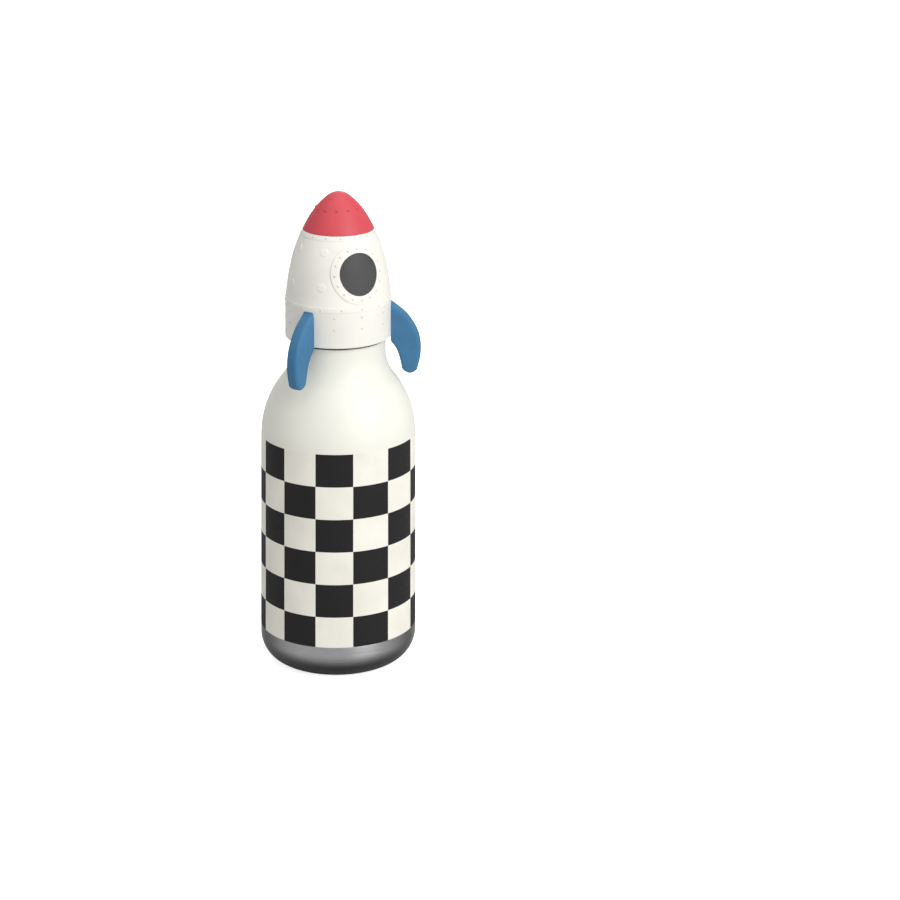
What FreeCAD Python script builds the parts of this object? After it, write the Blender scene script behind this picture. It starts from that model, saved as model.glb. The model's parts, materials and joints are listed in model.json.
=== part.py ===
import FreeCAD, Part
import math
import os

# Kids' rocket bottle: a double-wall steel bottle, a screw-in straw lid and a pull-off
# rocket cap.  Millimetres, +Z up, origin at the centre of the resting face.
# The porthole looks towards -Y.  Azimuths run from -Y towards +X.

# --- bottle ---
BODY_R = 38.0
BASE_BEND_R = 12.5
BAND_TOP_Z = 17.0
SHOULDER_Z = 109.0
SHOULDER_R = 43.0
NECK_BEND_R = 21.0
NECK_R = 23.4
RIM_Z = 160.0
STEEL_T = 0.6
VACUUM_GAP = 2.0
LINER_T = 0.5
LIP_T = 0.8
LINER_FLOOR_Z = 6.1
LINER_BEND_R = 10.0
RECESS_R = 20.2
RECESS_Z = 2.8
PLATE_Z = 1.0
PLATE_T = 0.8
PORT_R = 1.6
PLUG_HEAD_R = 4.0
PLUG_HEAD_T = 0.8
GETTER_R = 4.0
GETTER_T = 1.2
GETTER_X = 12.0

# --- neck thread ---
THREAD_LEAD = 4.0
NECK_TURNS = 1.75
LID_TURNS = 2.0
RIDGE_ROOT = 1.5
RIDGE_CREST = 0.8
RIDGE_BITE = 0.3
NECK_RIDGE_Z = 151.0
NECK_CREST_R = 18.95
LID_CREST_R = 19.7

# --- drinking lid ---
PLUG_R = 18.6
PLUG_Z = 148.0
PLUG_BORE_R = 16.2
LAND_R = 19.4
LAND_Z = 158.9
GASKET_R_IN = 19.6
GASKET_R_OUT = 23.2
GASKET_T = 1.8
FLANGE_R = 24.2
FLANGE_T = 3.2
COLLAR_R = 20.4
COLLAR_TOP_Z = 175.5
DECK_Z = 178.0
DECK_T = 2.2
DECK_EDGE_R = 19.0
GROOVE_Z = 168.6
GROOVE_H = 2.6
GROOVE_DEPTH = 1.1
GRIP_RING_R = 21.7
SOCKET_R = 6.0
SOCKET_Z = 166.0
CONNECTOR_R = 3.6
CONNECTOR_BORE_R = 2.1
BARB_R = 2.95
BARB_NECK_R = 2.7
BARB_Z = 155.0
BARB_H = 3.0
BARB_RISE = 2.25
BARBS = 3
STRAW_R = 4.0
STRAW_BORE_R = 3.0
STRAW_BOTTOM_Z = 12.0
STRAW_TOP_Z = 165.6
STRAW_NOTCH = 4.0
VENT_Y = 12.5
VENT_R = 1.3
VENT_STEM_R = 1.25
VENT_FOOT_H = 1.5
VENT_CAP_R = 3.2
VENT_CAP_T = 0.8
VENT_FOOT_R = 1.9
VENT_LIFT = 0.6

# --- soft spout ---
SPOUT_FOOT_R = 9.0
SPOUT_FOOT_T = 1.6
SPOUT_SHOULDER_R = 6.4
SPOUT_R = 5.6
SPOUT_R_Z = 181.6
SPOUT_WAIST_R = 4.7
SPOUT_WAIST_Z = 188.0
SPOUT_STEM = (4.75, 193.0)
SPOUT_BORE_R = 2.4
SPOUT_PIVOT_Z = 187.0
SPOUT_BALL_R = 5.0
SPOUT_GAP = 0.15
SPOUT_TIP_R = 5.2
SPOUT_TOP_Z = 204.0

# --- rocket cap ---
CAP_BOTTOM_Z = 156.9
SKIRT_R = 26.25
SKIRT_WALL = 1.8
SKIRT_CHAMFER = 0.5
BELT_LOW_Z = 174.1
BELT_LOW_TOP_Z = 176.6
BELT_HIGH_Z = 207.1
NOSE_Z = 209.3
APEX_Z = 227.5
BELT_PROUD = 0.2
WALL = 2.0
OGIVE = (
    (26.15, 176.6),
    (24.6, 188.1),
    (21.7, 199.9),
    (17.65, 209.5),
    (12.95, 217.6),
    (7.7, 223.6),
    (4.1, 226.4),
)
SPIGOT_Z = 206.4
SPIGOT_LEAD = 1.0
SPIGOT_WALL = 1.6
SLEEVE_R_IN = 21.75
SLEEVE_WALL = 1.4
SLEEVE_RIM = 1.6
SLEEVE_TOP_Z = 173.9

# --- porthole ---
WINDOW_Z = 191.6
LENS_R = 10.0
FRAME_R = 14.0
FRAME_PROUD = 0.4
LENS_SUNK = 0.2
SEAT_DEPTH = 1.1
FRAME_RIVET_R = 12.0
FRAME_RIVETS = 16

# --- rivets and studs ---
RIVET_R = 0.55
RIVET_SINK = 0.25
BELT_RIVETS = 16
SKIRT_RIVET_Z = (171.5, 166.0)
SKIRT_RIVET_AZIMUTHS = range(-150, 180, 30)
STUD_R = 1.95
STUD_PROUD = 0.3
STUD_ROOT = 1.0
STUD_EDGE = 0.25
STUD_Z = (202.0, 185.8)
STUD_STEP = 45
NOSE_RIVET_R = 0.8
NOSE_RIVET_SINK = 0.35
NOSE_RIVET_Z = 220.0
NOSE_RIVET_STEP = 30

# --- fins ---
FIN_AZIMUTHS = {"fin_left": -60, "fin_right": 60, "fin_rear": 180}
FIN_T = 6.5
FIN_EDGE_R = 1.6
FIN_BACK = ((25.6, 174.0), (34.7, 166.4), (39.9, 157.1), (40.7, 148.2), (39.0, 140.4))
FIN_TIP = (35.4, 138.5)
FIN_FRONT = ((31.5, 140.8), (30.3, 146.2), (28.9, 150.1), (25.5, 154.8))
TONGUE_DEPTH = 1.0
TONGUE_T = 2.4
TONGUE_Z = (159.5, 170.5)

ORIGIN = FreeCAD.Vector(0, 0, 0)
UP = FreeCAD.Vector(0, 0, 1)
OUT = FreeCAD.Vector(0, -1, 0)
LEVEL = FreeCAD.Vector(-1, 0, 0)
FAR = 60.0
OVERRUN = 1.0
HAIR = 0.01
HALVINGS = 40


def at(radius, z):
    """Point on the half plane that profiles are drawn in."""
    return FreeCAD.Vector(radius, 0, z)


def edges_of(path):
    """Edges of an open path: (r, z) steps, or (through, end) pairs for arcs."""
    edges = []
    here = at(*path[0])
    for step in path[1:]:
        if isinstance(step[0], tuple):
            end = at(*step[1])
            edges.append(Part.Arc(here, at(*step[0]), end).toShape())
        else:
            end = at(*step)
            edges.append(Part.makeLine(here, end))
        here = end
    return edges


def spin(*path):
    """Solid of revolution about Z from a closed path."""
    face = Part.Face(Part.Wire(edges_of(path + (path[0],))))
    return face.revolve(ORIGIN, UP, 360)


def turned(shape, azimuth):
    """Copy of a shape turned about Z from -Y to the given azimuth."""
    copy = shape.copy()
    copy.rotate(ORIGIN, UP, azimuth)
    return copy


def slab(radius, low, high):
    return Part.makeCylinder(radius, high - low, at(0, low))


def cut_all(shape, tools):
    for tool in tools:
        shape = shape.cut(tool)
    return shape


# --- vessel walls -----------------------------------------------------------------

def shoulder_points(depth):
    """Shoulder and neck outline, a given depth under the outer surface."""
    centre_r = BODY_R - SHOULDER_R
    neck_centre_r = NECK_R + NECK_BEND_R
    rise = math.sqrt((SHOULDER_R + NECK_BEND_R) ** 2 - (neck_centre_r - centre_r) ** 2)
    lean = math.asin(rise / (SHOULDER_R + NECK_BEND_R))
    neck_z = SHOULDER_Z + rise
    convex = SHOULDER_R - depth
    concave = NECK_BEND_R + depth
    half = lean / 2
    crown = (centre_r + convex * math.cos(half), SHOULDER_Z + convex * math.sin(half))
    joint = (centre_r + convex * math.cos(lean), SHOULDER_Z + convex * math.sin(lean))
    hollow = (neck_centre_r - concave * math.cos(half), neck_z - concave * math.sin(half))
    return (BODY_R - depth, SHOULDER_Z), crown, joint, hollow, (NECK_R - depth, neck_z)


def outward_wall(depth, top_z):
    """Path up the vessel wall from the shoulder to a height on the neck."""
    start, crown, joint, hollow, neck = shoulder_points(depth)
    return (start, (crown, joint), (hollow, neck), (neck[0], top_z))


def inward_wall(depth, top_z):
    """The same path from the neck down to the shoulder."""
    start, crown, joint, hollow, neck = shoulder_points(depth)
    return ((neck[0], top_z), neck, (hollow, joint), (crown, start))


def outer_shell():
    """Coated outer wall, from the bare steel band up to the rolled lip."""
    top = RIM_Z - LIP_T
    outside = ((BODY_R, BAND_TOP_Z),) + outward_wall(0, top)
    inside = inward_wall(STEEL_T, top) + ((BODY_R - STEEL_T, BAND_TOP_Z),)
    return spin(*(outside + inside))


def bend(centre_r, centre_z, radius):
    """Middle and end points of a quarter bend from the wall down to the floor."""
    diagonal = radius * math.sqrt(0.5)
    return ((centre_r + diagonal, centre_z - diagonal), (centre_r, centre_z - radius))


def base_cup():
    """Bare brushed cup that closes the outer wall, with a recess for the plate."""
    bend_r = BODY_R - BASE_BEND_R
    inner = BASE_BEND_R - STEEL_T
    middle, foot = bend(bend_r, BASE_BEND_R, BASE_BEND_R)
    inner_middle, inner_foot = bend(bend_r, BASE_BEND_R, inner)
    step_r = RECESS_R + STEEL_T
    ceiling = RECESS_Z + STEEL_T
    return spin(
        (BODY_R, BAND_TOP_Z),
        (BODY_R, BASE_BEND_R),
        (middle, foot),
        (RECESS_R, 0),
        (RECESS_R, RECESS_Z),
        (PORT_R, RECESS_Z),
        (PORT_R, ceiling),
        (step_r, ceiling),
        (step_r, STEEL_T),
        inner_foot,
        (inner_middle, (BODY_R - STEEL_T, BASE_BEND_R)),
        (BODY_R - STEEL_T, BAND_TOP_Z),
    )


def base_plate():
    return slab(RECESS_R, PLATE_Z, PLATE_Z + PLATE_T)


def vacuum_plug():
    """Sealing plug in the evacuation port, hidden above the base plate."""
    head_z = RECESS_Z - PLUG_HEAD_T
    head = slab(PLUG_HEAD_R, head_z, RECESS_Z)
    return head.fuse(slab(PORT_R, RECESS_Z, RECESS_Z + STEEL_T)).removeSplitter()


def getter():
    """Gas absorbing tablet bonded under the liner floor."""
    low = FreeCAD.Vector(GETTER_X, 0, LINER_FLOOR_Z - GETTER_T)
    return Part.makeCylinder(GETTER_R, GETTER_T, low)


def ridge(base_r, crest_r, low_z, turns):
    """One thread ridge: a trapezoid swept along a right-hand helix."""
    sign = 1 if crest_r > base_r else -1
    root_r = base_r - sign * RIDGE_BITE
    height = THREAD_LEAD * turns
    helix = Part.makeHelix(THREAD_LEAD, height, base_r)
    corners = (
        (root_r, -RIDGE_ROOT / 2),
        (crest_r, -RIDGE_CREST / 2),
        (crest_r, RIDGE_CREST / 2),
        (root_r, RIDGE_ROOT / 2),
    )
    outline = Part.makePolygon([at(*corner) for corner in corners + (corners[0],)])
    swept = Part.Wire(helix.Edges).makePipeShell([outline], True, True)
    swept.translate(FreeCAD.Vector(0, 0, low_z))
    return swept


def inner_vessel():
    """Liner with its flat floor, rolled lip and internal neck thread."""
    depth = STEEL_T + VACUUM_GAP
    outer_r = BODY_R - depth
    inner_r = outer_r - LINER_T
    centre_r = outer_r - LINER_BEND_R
    centre_z = LINER_FLOOR_Z + LINER_BEND_R
    floor_z = LINER_FLOOR_Z + LINER_T
    middle, foot = bend(centre_r, centre_z, LINER_BEND_R)
    in_middle, in_foot = bend(centre_r, centre_z, LINER_BEND_R - LINER_T)
    lip_z = RIM_Z - LIP_T
    outside = ((0, LINER_FLOOR_Z), foot, (middle, (outer_r, centre_z)))
    outside = outside + outward_wall(depth, lip_z) + ((NECK_R, lip_z), (NECK_R, RIM_Z))
    inside = inward_wall(depth + LINER_T, RIM_Z) + ((inner_r, centre_z), (in_middle, in_foot))
    wall = spin(*(outside + inside + ((0, floor_z),)))
    neck_bore = NECK_R - depth - LINER_T
    return wall.fuse(ridge(neck_bore, NECK_CREST_R, NECK_RIDGE_Z, NECK_TURNS))


# --- drinking lid -----------------------------------------------------------------

def neck_gasket():
    """Soft ring squeezed between the bottle's lip and the lid flange."""
    low = slab(GASKET_R_OUT, RIM_Z, RIM_Z + GASKET_T)
    return low.cut(slab(GASKET_R_IN, RIM_Z, RIM_Z + GASKET_T))


def lid_body():
    """Threaded plug, flange, collar and deck in one moulding, hollow underneath."""
    flange_z = RIM_Z + GASKET_T
    flange_top = flange_z + FLANGE_T
    groove_r = COLLAR_R - GROOVE_DEPTH
    ceiling = DECK_Z - DECK_T
    shell = spin(
        (PLUG_BORE_R, PLUG_Z),
        (PLUG_R, PLUG_Z),
        (PLUG_R, LAND_Z),
        (LAND_R, LAND_Z),
        (LAND_R, flange_z),
        (FLANGE_R, flange_z),
        (FLANGE_R, flange_top),
        (COLLAR_R, flange_top),
        (COLLAR_R, GROOVE_Z),
        (groove_r, GROOVE_Z),
        (groove_r, GROOVE_Z + GROOVE_H),
        (COLLAR_R, GROOVE_Z + GROOVE_H),
        (COLLAR_R, COLLAR_TOP_Z),
        (DECK_EDGE_R, DECK_Z),
        (CONNECTOR_R, DECK_Z),
        (CONNECTOR_R, SOCKET_Z),
        (SOCKET_R, SOCKET_Z),
        (SOCKET_R, ceiling),
        (PLUG_BORE_R, ceiling),
    )
    low_z = NECK_RIDGE_Z - THREAD_LEAD / 2
    threaded = shell.fuse(ridge(PLUG_R, LID_CREST_R, low_z, LID_TURNS))
    vent_hole = Part.makeCylinder(VENT_R, FAR, FreeCAD.Vector(0, VENT_Y, ceiling - OVERRUN))
    return threaded.cut(vent_hole)


def cap_grip_ring():
    """Soft ring in the collar groove that holds the rocket cap by friction."""
    groove_r = COLLAR_R - GROOVE_DEPTH
    lean = GROOVE_H / 2
    return spin(
        (groove_r, GROOVE_Z),
        (COLLAR_R, GROOVE_Z),
        ((GRIP_RING_R, GROOVE_Z + lean), (COLLAR_R, GROOVE_Z + GROOVE_H)),
        (groove_r, GROOVE_Z + GROOVE_H),
    )


def straw_connector():
    """Tube pressed into the lid, with barbs below that hold the straw."""
    path = [(CONNECTOR_BORE_R, BARB_Z), (BARB_NECK_R, BARB_Z)]
    for index in range(BARBS):
        low = BARB_Z + index * BARB_H
        path.append((BARB_R, low + BARB_RISE))
        path.append((BARB_NECK_R, low + BARB_H))
    path.append((BARB_NECK_R, STRAW_TOP_Z))
    path.append((CONNECTOR_R, STRAW_TOP_Z))
    path.append((CONNECTOR_R, DECK_Z))
    path.append((CONNECTOR_BORE_R, DECK_Z))
    return spin(*path)


def straw():
    """Straight soft straw with a notched foot that can't seal on the floor."""
    tube = slab(STRAW_R, STRAW_BOTTOM_Z, STRAW_TOP_Z)
    tube = tube.cut(slab(STRAW_BORE_R, STRAW_BOTTOM_Z, STRAW_TOP_Z))
    below = STRAW_BOTTOM_Z - OVERRUN
    corners = (
        FreeCAD.Vector(-FAR, -STRAW_NOTCH, below),
        FreeCAD.Vector(-FAR, STRAW_NOTCH, below),
        FreeCAD.Vector(-FAR, 0, STRAW_BOTTOM_Z + STRAW_NOTCH),
        FreeCAD.Vector(-FAR, -STRAW_NOTCH, below),
    )
    notch = Part.Face(Part.makePolygon(corners)).extrude(FreeCAD.Vector(2 * FAR, 0, 0))
    return tube.cut(notch)


def vent_valve():
    """Soft umbrella valve that lets air in while the child drinks."""
    ceiling = DECK_Z - DECK_T
    foot_z = ceiling - VENT_LIFT
    path = (
        (0, foot_z - VENT_FOOT_H),
        (VENT_STEM_R, foot_z - VENT_FOOT_H),
        (VENT_FOOT_R, foot_z),
        (VENT_STEM_R, foot_z),
        (VENT_STEM_R, DECK_Z),
        (VENT_CAP_R, DECK_Z),
        (VENT_CAP_R, DECK_Z + VENT_CAP_T / 2),
        (VENT_CAP_R - VENT_CAP_T, DECK_Z + VENT_CAP_T),
        (0, DECK_Z + VENT_CAP_T),
    )
    valve = spin(*path)
    valve.translate(FreeCAD.Vector(0, VENT_Y, 0))
    return valve


def ball_arc(ball_r, first_r, last_r):
    """Arc of a ball about the bending point, under it, between two radii."""
    heights = [math.sqrt(ball_r ** 2 - radius ** 2) for radius in (first_r, last_r)]
    start = math.atan2(first_r, heights[0])
    end = math.atan2(last_r, heights[1])
    half = (start + end) / 2
    middle = (ball_r * math.sin(half), SPOUT_PIVOT_Z - ball_r * math.cos(half))
    return middle, (last_r, SPOUT_PIVOT_Z - heights[1])


def spout_base():
    """Foot and lower half of the soft spout, with a hollow seat where it bends."""
    foot_top = DECK_Z + SPOUT_FOOT_T
    seat_r = SPOUT_BALL_R + SPOUT_GAP
    rim_z = SPOUT_PIVOT_Z - math.sqrt(seat_r ** 2 - SPOUT_WAIST_R ** 2)
    return spin(
        (SPOUT_BORE_R, DECK_Z),
        (SPOUT_FOOT_R, DECK_Z),
        (SPOUT_FOOT_R, foot_top),
        (SPOUT_SHOULDER_R, foot_top),
        ((SPOUT_R, SPOUT_R_Z), (SPOUT_WAIST_R, rim_z)),
        ball_arc(seat_r, SPOUT_WAIST_R, SPOUT_BORE_R),
    )


def mouthpiece():
    """Upper half of the soft spout, with a rounded rim and a ball-shaped foot."""
    low = SPOUT_PIVOT_Z - math.sqrt(SPOUT_BALL_R ** 2 - SPOUT_BORE_R ** 2)
    lip = (SPOUT_TIP_R - SPOUT_BORE_R) / 2
    rim_z = SPOUT_TOP_Z - lip
    return spin(
        (SPOUT_BORE_R, low),
        ball_arc(SPOUT_BALL_R, SPOUT_BORE_R, SPOUT_WAIST_R),
        (SPOUT_WAIST_R, SPOUT_WAIST_Z),
        (SPOUT_STEM, (SPOUT_TIP_R, rim_z)),
        ((SPOUT_BORE_R + lip, SPOUT_TOP_Z), (SPOUT_BORE_R, rim_z)),
    )


# --- rocket cap -------------------------------------------------------------------

def outline_curve(points):
    """Smooth curve up through outline points, level where it meets the axis."""
    curve = Part.BSplineCurve()
    rising = points[1].sub(points[0])
    curve.interpolate(Points=points, InitialTangent=rising, FinalTangent=LEVEL)
    return curve


def ogive_curve(depth):
    """Cap outline from the lower belt to the apex, moved inwards by a depth."""
    outer = outline_curve([at(*point) for point in OGIVE] + [at(0, APEX_Z)])
    moved = []
    for radius, z in OGIVE:
        along = outer.tangent(outer.parameter(at(radius, z)))[0]
        moved.append(at(radius - depth * along.z, z + depth * along.x))
    moved.append(at(0, APEX_Z - depth))
    return outline_curve(moved)


def ogive_form(depth):
    """Solid inside the cap outline."""
    side = ogive_curve(depth).toShape()
    low = side.Vertexes[0].Point
    high = side.Vertexes[-1].Point
    centre = at(0, low.z)
    wire = Part.Wire([Part.makeLine(centre, low), side, Part.makeLine(high, centre)])
    return Part.Face(wire).revolve(ORIGIN, UP, 360)


def surface_at(z):
    """Radius of the cap outline at a height, and how far its normal tips up."""
    curve = ogive_curve(0)
    low = curve.FirstParameter
    high = curve.LastParameter
    for _ in range(HALVINGS):
        middle = (low + high) / 2
        if curve.value(middle).z < z:
            low = middle
        else:
            high = middle
    slope = curve.tangent(low)[0]
    return curve.value(low).x, math.atan2(-slope.x, slope.z)


def planted(shape, radius, z, tip):
    """Feature drawn along +Z, laid on a surface point that faces -Y."""
    copy = shape.copy()
    copy.rotate(ORIGIN, FreeCAD.Vector(1, 0, 0), 90 - math.degrees(tip))
    copy.translate(FreeCAD.Vector(0, -radius, z))
    return copy


def rivet(ball_r, sink):
    return Part.makeSphere(ball_r, FreeCAD.Vector(0, 0, -sink))


def stud():
    """Large flat stud with a softened edge."""
    height = STUD_PROUD + STUD_ROOT
    body = Part.makeCylinder(STUD_R, height, FreeCAD.Vector(0, 0, -STUD_ROOT))
    rim = [edge for edge in body.Edges if edge.BoundBox.ZMin > STUD_PROUD - HAIR]
    return body.makeFillet(STUD_EDGE, rim)


def shell_rivets():
    """Small rivets on both belts and in pairs down the skirt."""
    high_z = (BELT_HIGH_Z + NOSE_Z) / 2
    radius, tip = surface_at(high_z)
    high = planted(rivet(RIVET_R, RIVET_SINK), radius + BELT_PROUD, high_z, tip)
    low_z = (BELT_LOW_Z + BELT_LOW_TOP_Z) / 2
    low = planted(rivet(RIVET_R, RIVET_SINK), SKIRT_R + BELT_PROUD, low_z, 0)
    step = 360 / BELT_RIVETS
    rivets = [turned(high, index * step) for index in range(BELT_RIVETS)]
    rivets += [turned(low, index * step) for index in range(BELT_RIVETS)]
    for z in SKIRT_RIVET_Z:
        one = planted(rivet(RIVET_R, RIVET_SINK), SKIRT_R, z, 0)
        for azimuth in SKIRT_RIVET_AZIMUTHS:
            if azimuth not in FIN_AZIMUTHS.values():
                rivets.append(turned(one, azimuth))
    return rivets


def shell_studs():
    """Two rows of large studs, leaving the porthole's side free."""
    studs = []
    for z in STUD_Z:
        radius, tip = surface_at(z)
        one = planted(stud(), radius, z, tip)
        studs += [turned(one, azimuth) for azimuth in range(STUD_STEP, 360, STUD_STEP)]
    return studs


def porthole_bar(radius):
    """Bar through the porthole, standing on the front side only."""
    return Part.makeCylinder(radius, FAR, FreeCAD.Vector(0, 0, WINDOW_Z), OUT)


def cap_shell():
    """Moulded rocket hull with belts, rivets, studs and the porthole seat."""
    inner_r = SKIRT_R - SKIRT_WALL
    skirt = spin(
        (0, CAP_BOTTOM_Z),
        (SKIRT_R - SKIRT_CHAMFER, CAP_BOTTOM_Z),
        (SKIRT_R, CAP_BOTTOM_Z + SKIRT_CHAMFER),
        (SKIRT_R, BELT_LOW_Z),
        (SKIRT_R + BELT_PROUD, BELT_LOW_Z),
        (SKIRT_R + BELT_PROUD, BELT_LOW_TOP_Z),
        (0, BELT_LOW_TOP_Z),
    )
    hull = ogive_form(0).common(slab(FAR, BELT_LOW_TOP_Z, BELT_HIGH_Z))
    belt = ogive_form(-BELT_PROUD).common(slab(FAR, BELT_HIGH_Z, NOSE_Z))
    solid = skirt.fuse([hull, belt]).removeSplitter()
    seat = porthole_bar(FRAME_R).cut(ogive_form(SEAT_DEPTH))
    solid = solid.fuse(shell_rivets() + shell_studs()).cut(seat)
    spigot_r = surface_at(NOSE_Z)[0] - WALL
    cavity = ogive_form(WALL).common(slab(FAR, BELT_LOW_TOP_Z, SPIGOT_Z))
    throat = spin(
        (0, SPIGOT_Z),
        (surface_at(SPIGOT_Z)[0] - WALL, SPIGOT_Z),
        (spigot_r, SPIGOT_Z + SPIGOT_LEAD),
        (spigot_r, NOSE_Z),
        (0, NOSE_Z),
    )
    bore = slab(inner_r, CAP_BOTTOM_Z, BELT_LOW_Z)
    flare = spin(
        (0, BELT_LOW_Z),
        (inner_r, BELT_LOW_Z),
        (OGIVE[0][0] - WALL, BELT_LOW_TOP_Z),
        (0, BELT_LOW_TOP_Z),
    )
    grooves = [turned(tongue(), azimuth) for azimuth in FIN_AZIMUTHS.values()]
    return cut_all(solid, [cavity, throat, bore, flare] + grooves)


def cap_sleeve():
    """Inner sleeve that slides over the lid collar and rests on its flange."""
    outer_r = SKIRT_R - SKIRT_WALL
    low = RIM_Z + GASKET_T + FLANGE_T
    waist = SLEEVE_R_IN + SLEEVE_WALL
    return spin(
        (SLEEVE_R_IN, low),
        (outer_r, low),
        (outer_r, low + SLEEVE_RIM),
        (waist, low + SLEEVE_RIM),
        (waist, SLEEVE_TOP_Z - SLEEVE_RIM),
        (outer_r, SLEEVE_TOP_Z - SLEEVE_RIM),
        (outer_r, SLEEVE_TOP_Z),
        (SLEEVE_R_IN, SLEEVE_TOP_Z),
    )


def nose_cone():
    """Hollow red nose with a spigot that snaps into the hull's throat."""
    above = ogive_form(0).common(slab(FAR, NOSE_Z, APEX_Z + OVERRUN))
    radius, tip = surface_at(NOSE_RIVET_Z)
    one = planted(rivet(NOSE_RIVET_R, NOSE_RIVET_SINK), radius, NOSE_RIVET_Z, tip)
    rivets = [turned(one, azimuth) for azimuth in range(0, 360, NOSE_RIVET_STEP)]
    spigot_r = surface_at(NOSE_Z)[0] - WALL
    spigot = slab(spigot_r, SPIGOT_Z + SPIGOT_LEAD, NOSE_Z)
    solid = above.fuse([spigot] + rivets)
    hollow = ogive_form(WALL).common(slab(spigot_r - SPIGOT_WALL, SPIGOT_Z, APEX_Z))
    return solid.cut(hollow)


def window_lens():
    """Dark porthole pane, curved with the hull."""
    skin = ogive_form(LENS_SUNK).cut(ogive_form(SEAT_DEPTH))
    return skin.common(porthole_bar(LENS_R))


def window_frame():
    """Riveted ring around the pane."""
    skin = ogive_form(-FRAME_PROUD).cut(ogive_form(SEAT_DEPTH))
    ring = skin.common(porthole_bar(FRAME_R)).cut(porthole_bar(LENS_R))
    rivets = []
    for index in range(FRAME_RIVETS):
        angle = 2 * math.pi * index / FRAME_RIVETS
        z = WINDOW_Z + FRAME_RIVET_R * math.sin(angle)
        radius, tip = surface_at(z)
        across = FRAME_RIVET_R * math.cos(angle)
        azimuth = math.degrees(math.asin(across / radius))
        one = planted(rivet(RIVET_R, RIVET_SINK), radius + FRAME_PROUD, z, tip)
        rivets.append(turned(one, azimuth))
    return ring.fuse(rivets)


# --- fins -------------------------------------------------------------------------

def tongue():
    """Tongue on the fin's root, and the groove it fills in the skirt."""
    low, high = TONGUE_Z
    corner = FreeCAD.Vector(-TONGUE_T / 2, -SKIRT_R - OVERRUN, low)
    return Part.makeBox(TONGUE_T, TONGUE_DEPTH + OVERRUN, high - low, corner)


def spline(points):
    curve = Part.BSplineCurve()
    curve.interpolate(Points=[FreeCAD.Vector(0, -radius, z) for radius, z in points])
    return curve.toShape()


def fin():
    """Swept fin that points to -Y, with rounded edges and a tongued root."""
    back_end = FreeCAD.Vector(0, -FIN_BACK[-1][0], FIN_BACK[-1][1])
    tip = FreeCAD.Vector(0, -FIN_TIP[0], FIN_TIP[1])
    front_start = FreeCAD.Vector(0, -FIN_FRONT[0][0], FIN_FRONT[0][1])
    root_low = FreeCAD.Vector(0, -FIN_FRONT[-1][0], FIN_FRONT[-1][1])
    root_high = FreeCAD.Vector(0, -FIN_BACK[0][0], FIN_BACK[0][1])
    edges = [
        spline(FIN_BACK),
        Part.Arc(back_end, tip, front_start).toShape(),
        spline(FIN_FRONT),
        Part.makeLine(root_low, root_high),
    ]
    face = Part.Face(Part.Wire(edges))
    face.translate(FreeCAD.Vector(-FIN_T / 2, 0, 0))
    blade = face.extrude(FreeCAD.Vector(FIN_T, 0, 0))
    root_y = -FIN_BACK[0][0] - HAIR
    flat_edges = [edge for edge in blade.Edges if edge.BoundBox.XLength < HAIR]
    rims = [edge for edge in flat_edges if edge.BoundBox.YMin < root_y]
    blade = blade.makeFillet(FIN_EDGE_R, rims)
    blade = blade.cut(slab(SKIRT_R, CAP_BOTTOM_Z - FAR, BELT_LOW_Z + FAR))
    skirt = slab(SKIRT_R, CAP_BOTTOM_Z, BELT_LOW_Z)
    return blade.fuse(tongue().common(skirt)).removeSplitter()


def export(shape, name):
    if not shape.isValid():
        print("invalid shape:", name)
    solids = shape.Solids
    whole = solids[0] if len(solids) == 1 else Part.makeCompound(solids)
    whole.exportStep("parts/" + name + ".step")
    print(name, len(solids), round(whole.Volume, 1))


BUILDERS = {
    "outer_shell": outer_shell,
    "base_cup": base_cup,
    "base_plate": base_plate,
    "vacuum_plug": vacuum_plug,
    "getter": getter,
    "inner_vessel": inner_vessel,
    "neck_gasket": neck_gasket,
    "lid_body": lid_body,
    "cap_grip_ring": cap_grip_ring,
    "straw_connector": straw_connector,
    "straw": straw,
    "vent_valve": vent_valve,
    "spout_base": spout_base,
    "mouthpiece": mouthpiece,
    "cap_shell": cap_shell,
    "cap_sleeve": cap_sleeve,
    "nose_cone": nose_cone,
    "window_frame": window_frame,
    "window_lens": window_lens,
}

os.makedirs("parts", exist_ok=True)
for node, builder in BUILDERS.items():
    export(builder(), node)
for node, azimuth in FIN_AZIMUTHS.items():
    export(turned(fin(), azimuth), node)
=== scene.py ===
import json
import math

import bmesh
import bpy
from mathutils import Matrix, Vector


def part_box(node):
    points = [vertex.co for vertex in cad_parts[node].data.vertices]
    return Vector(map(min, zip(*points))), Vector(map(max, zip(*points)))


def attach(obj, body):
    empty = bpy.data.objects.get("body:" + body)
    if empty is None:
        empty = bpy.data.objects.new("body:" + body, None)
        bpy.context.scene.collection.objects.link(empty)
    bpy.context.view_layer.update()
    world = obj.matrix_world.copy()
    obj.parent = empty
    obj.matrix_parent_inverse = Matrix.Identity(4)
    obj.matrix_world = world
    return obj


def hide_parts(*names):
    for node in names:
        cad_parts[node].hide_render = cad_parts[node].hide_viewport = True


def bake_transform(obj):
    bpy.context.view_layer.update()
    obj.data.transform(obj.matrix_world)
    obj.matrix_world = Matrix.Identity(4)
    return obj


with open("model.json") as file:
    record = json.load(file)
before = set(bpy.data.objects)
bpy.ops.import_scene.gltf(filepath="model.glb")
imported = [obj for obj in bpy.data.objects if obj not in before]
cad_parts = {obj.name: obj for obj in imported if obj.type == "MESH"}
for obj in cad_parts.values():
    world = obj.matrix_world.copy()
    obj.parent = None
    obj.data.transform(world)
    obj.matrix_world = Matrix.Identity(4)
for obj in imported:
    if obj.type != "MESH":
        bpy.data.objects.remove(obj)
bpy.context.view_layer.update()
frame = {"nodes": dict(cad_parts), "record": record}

MM = 0.001
SEGMENTS = 192

# ------------------------------------------------------------------ sizes
# In mm, about the bottle's axis, and read from the frame where a node gives them.


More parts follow.
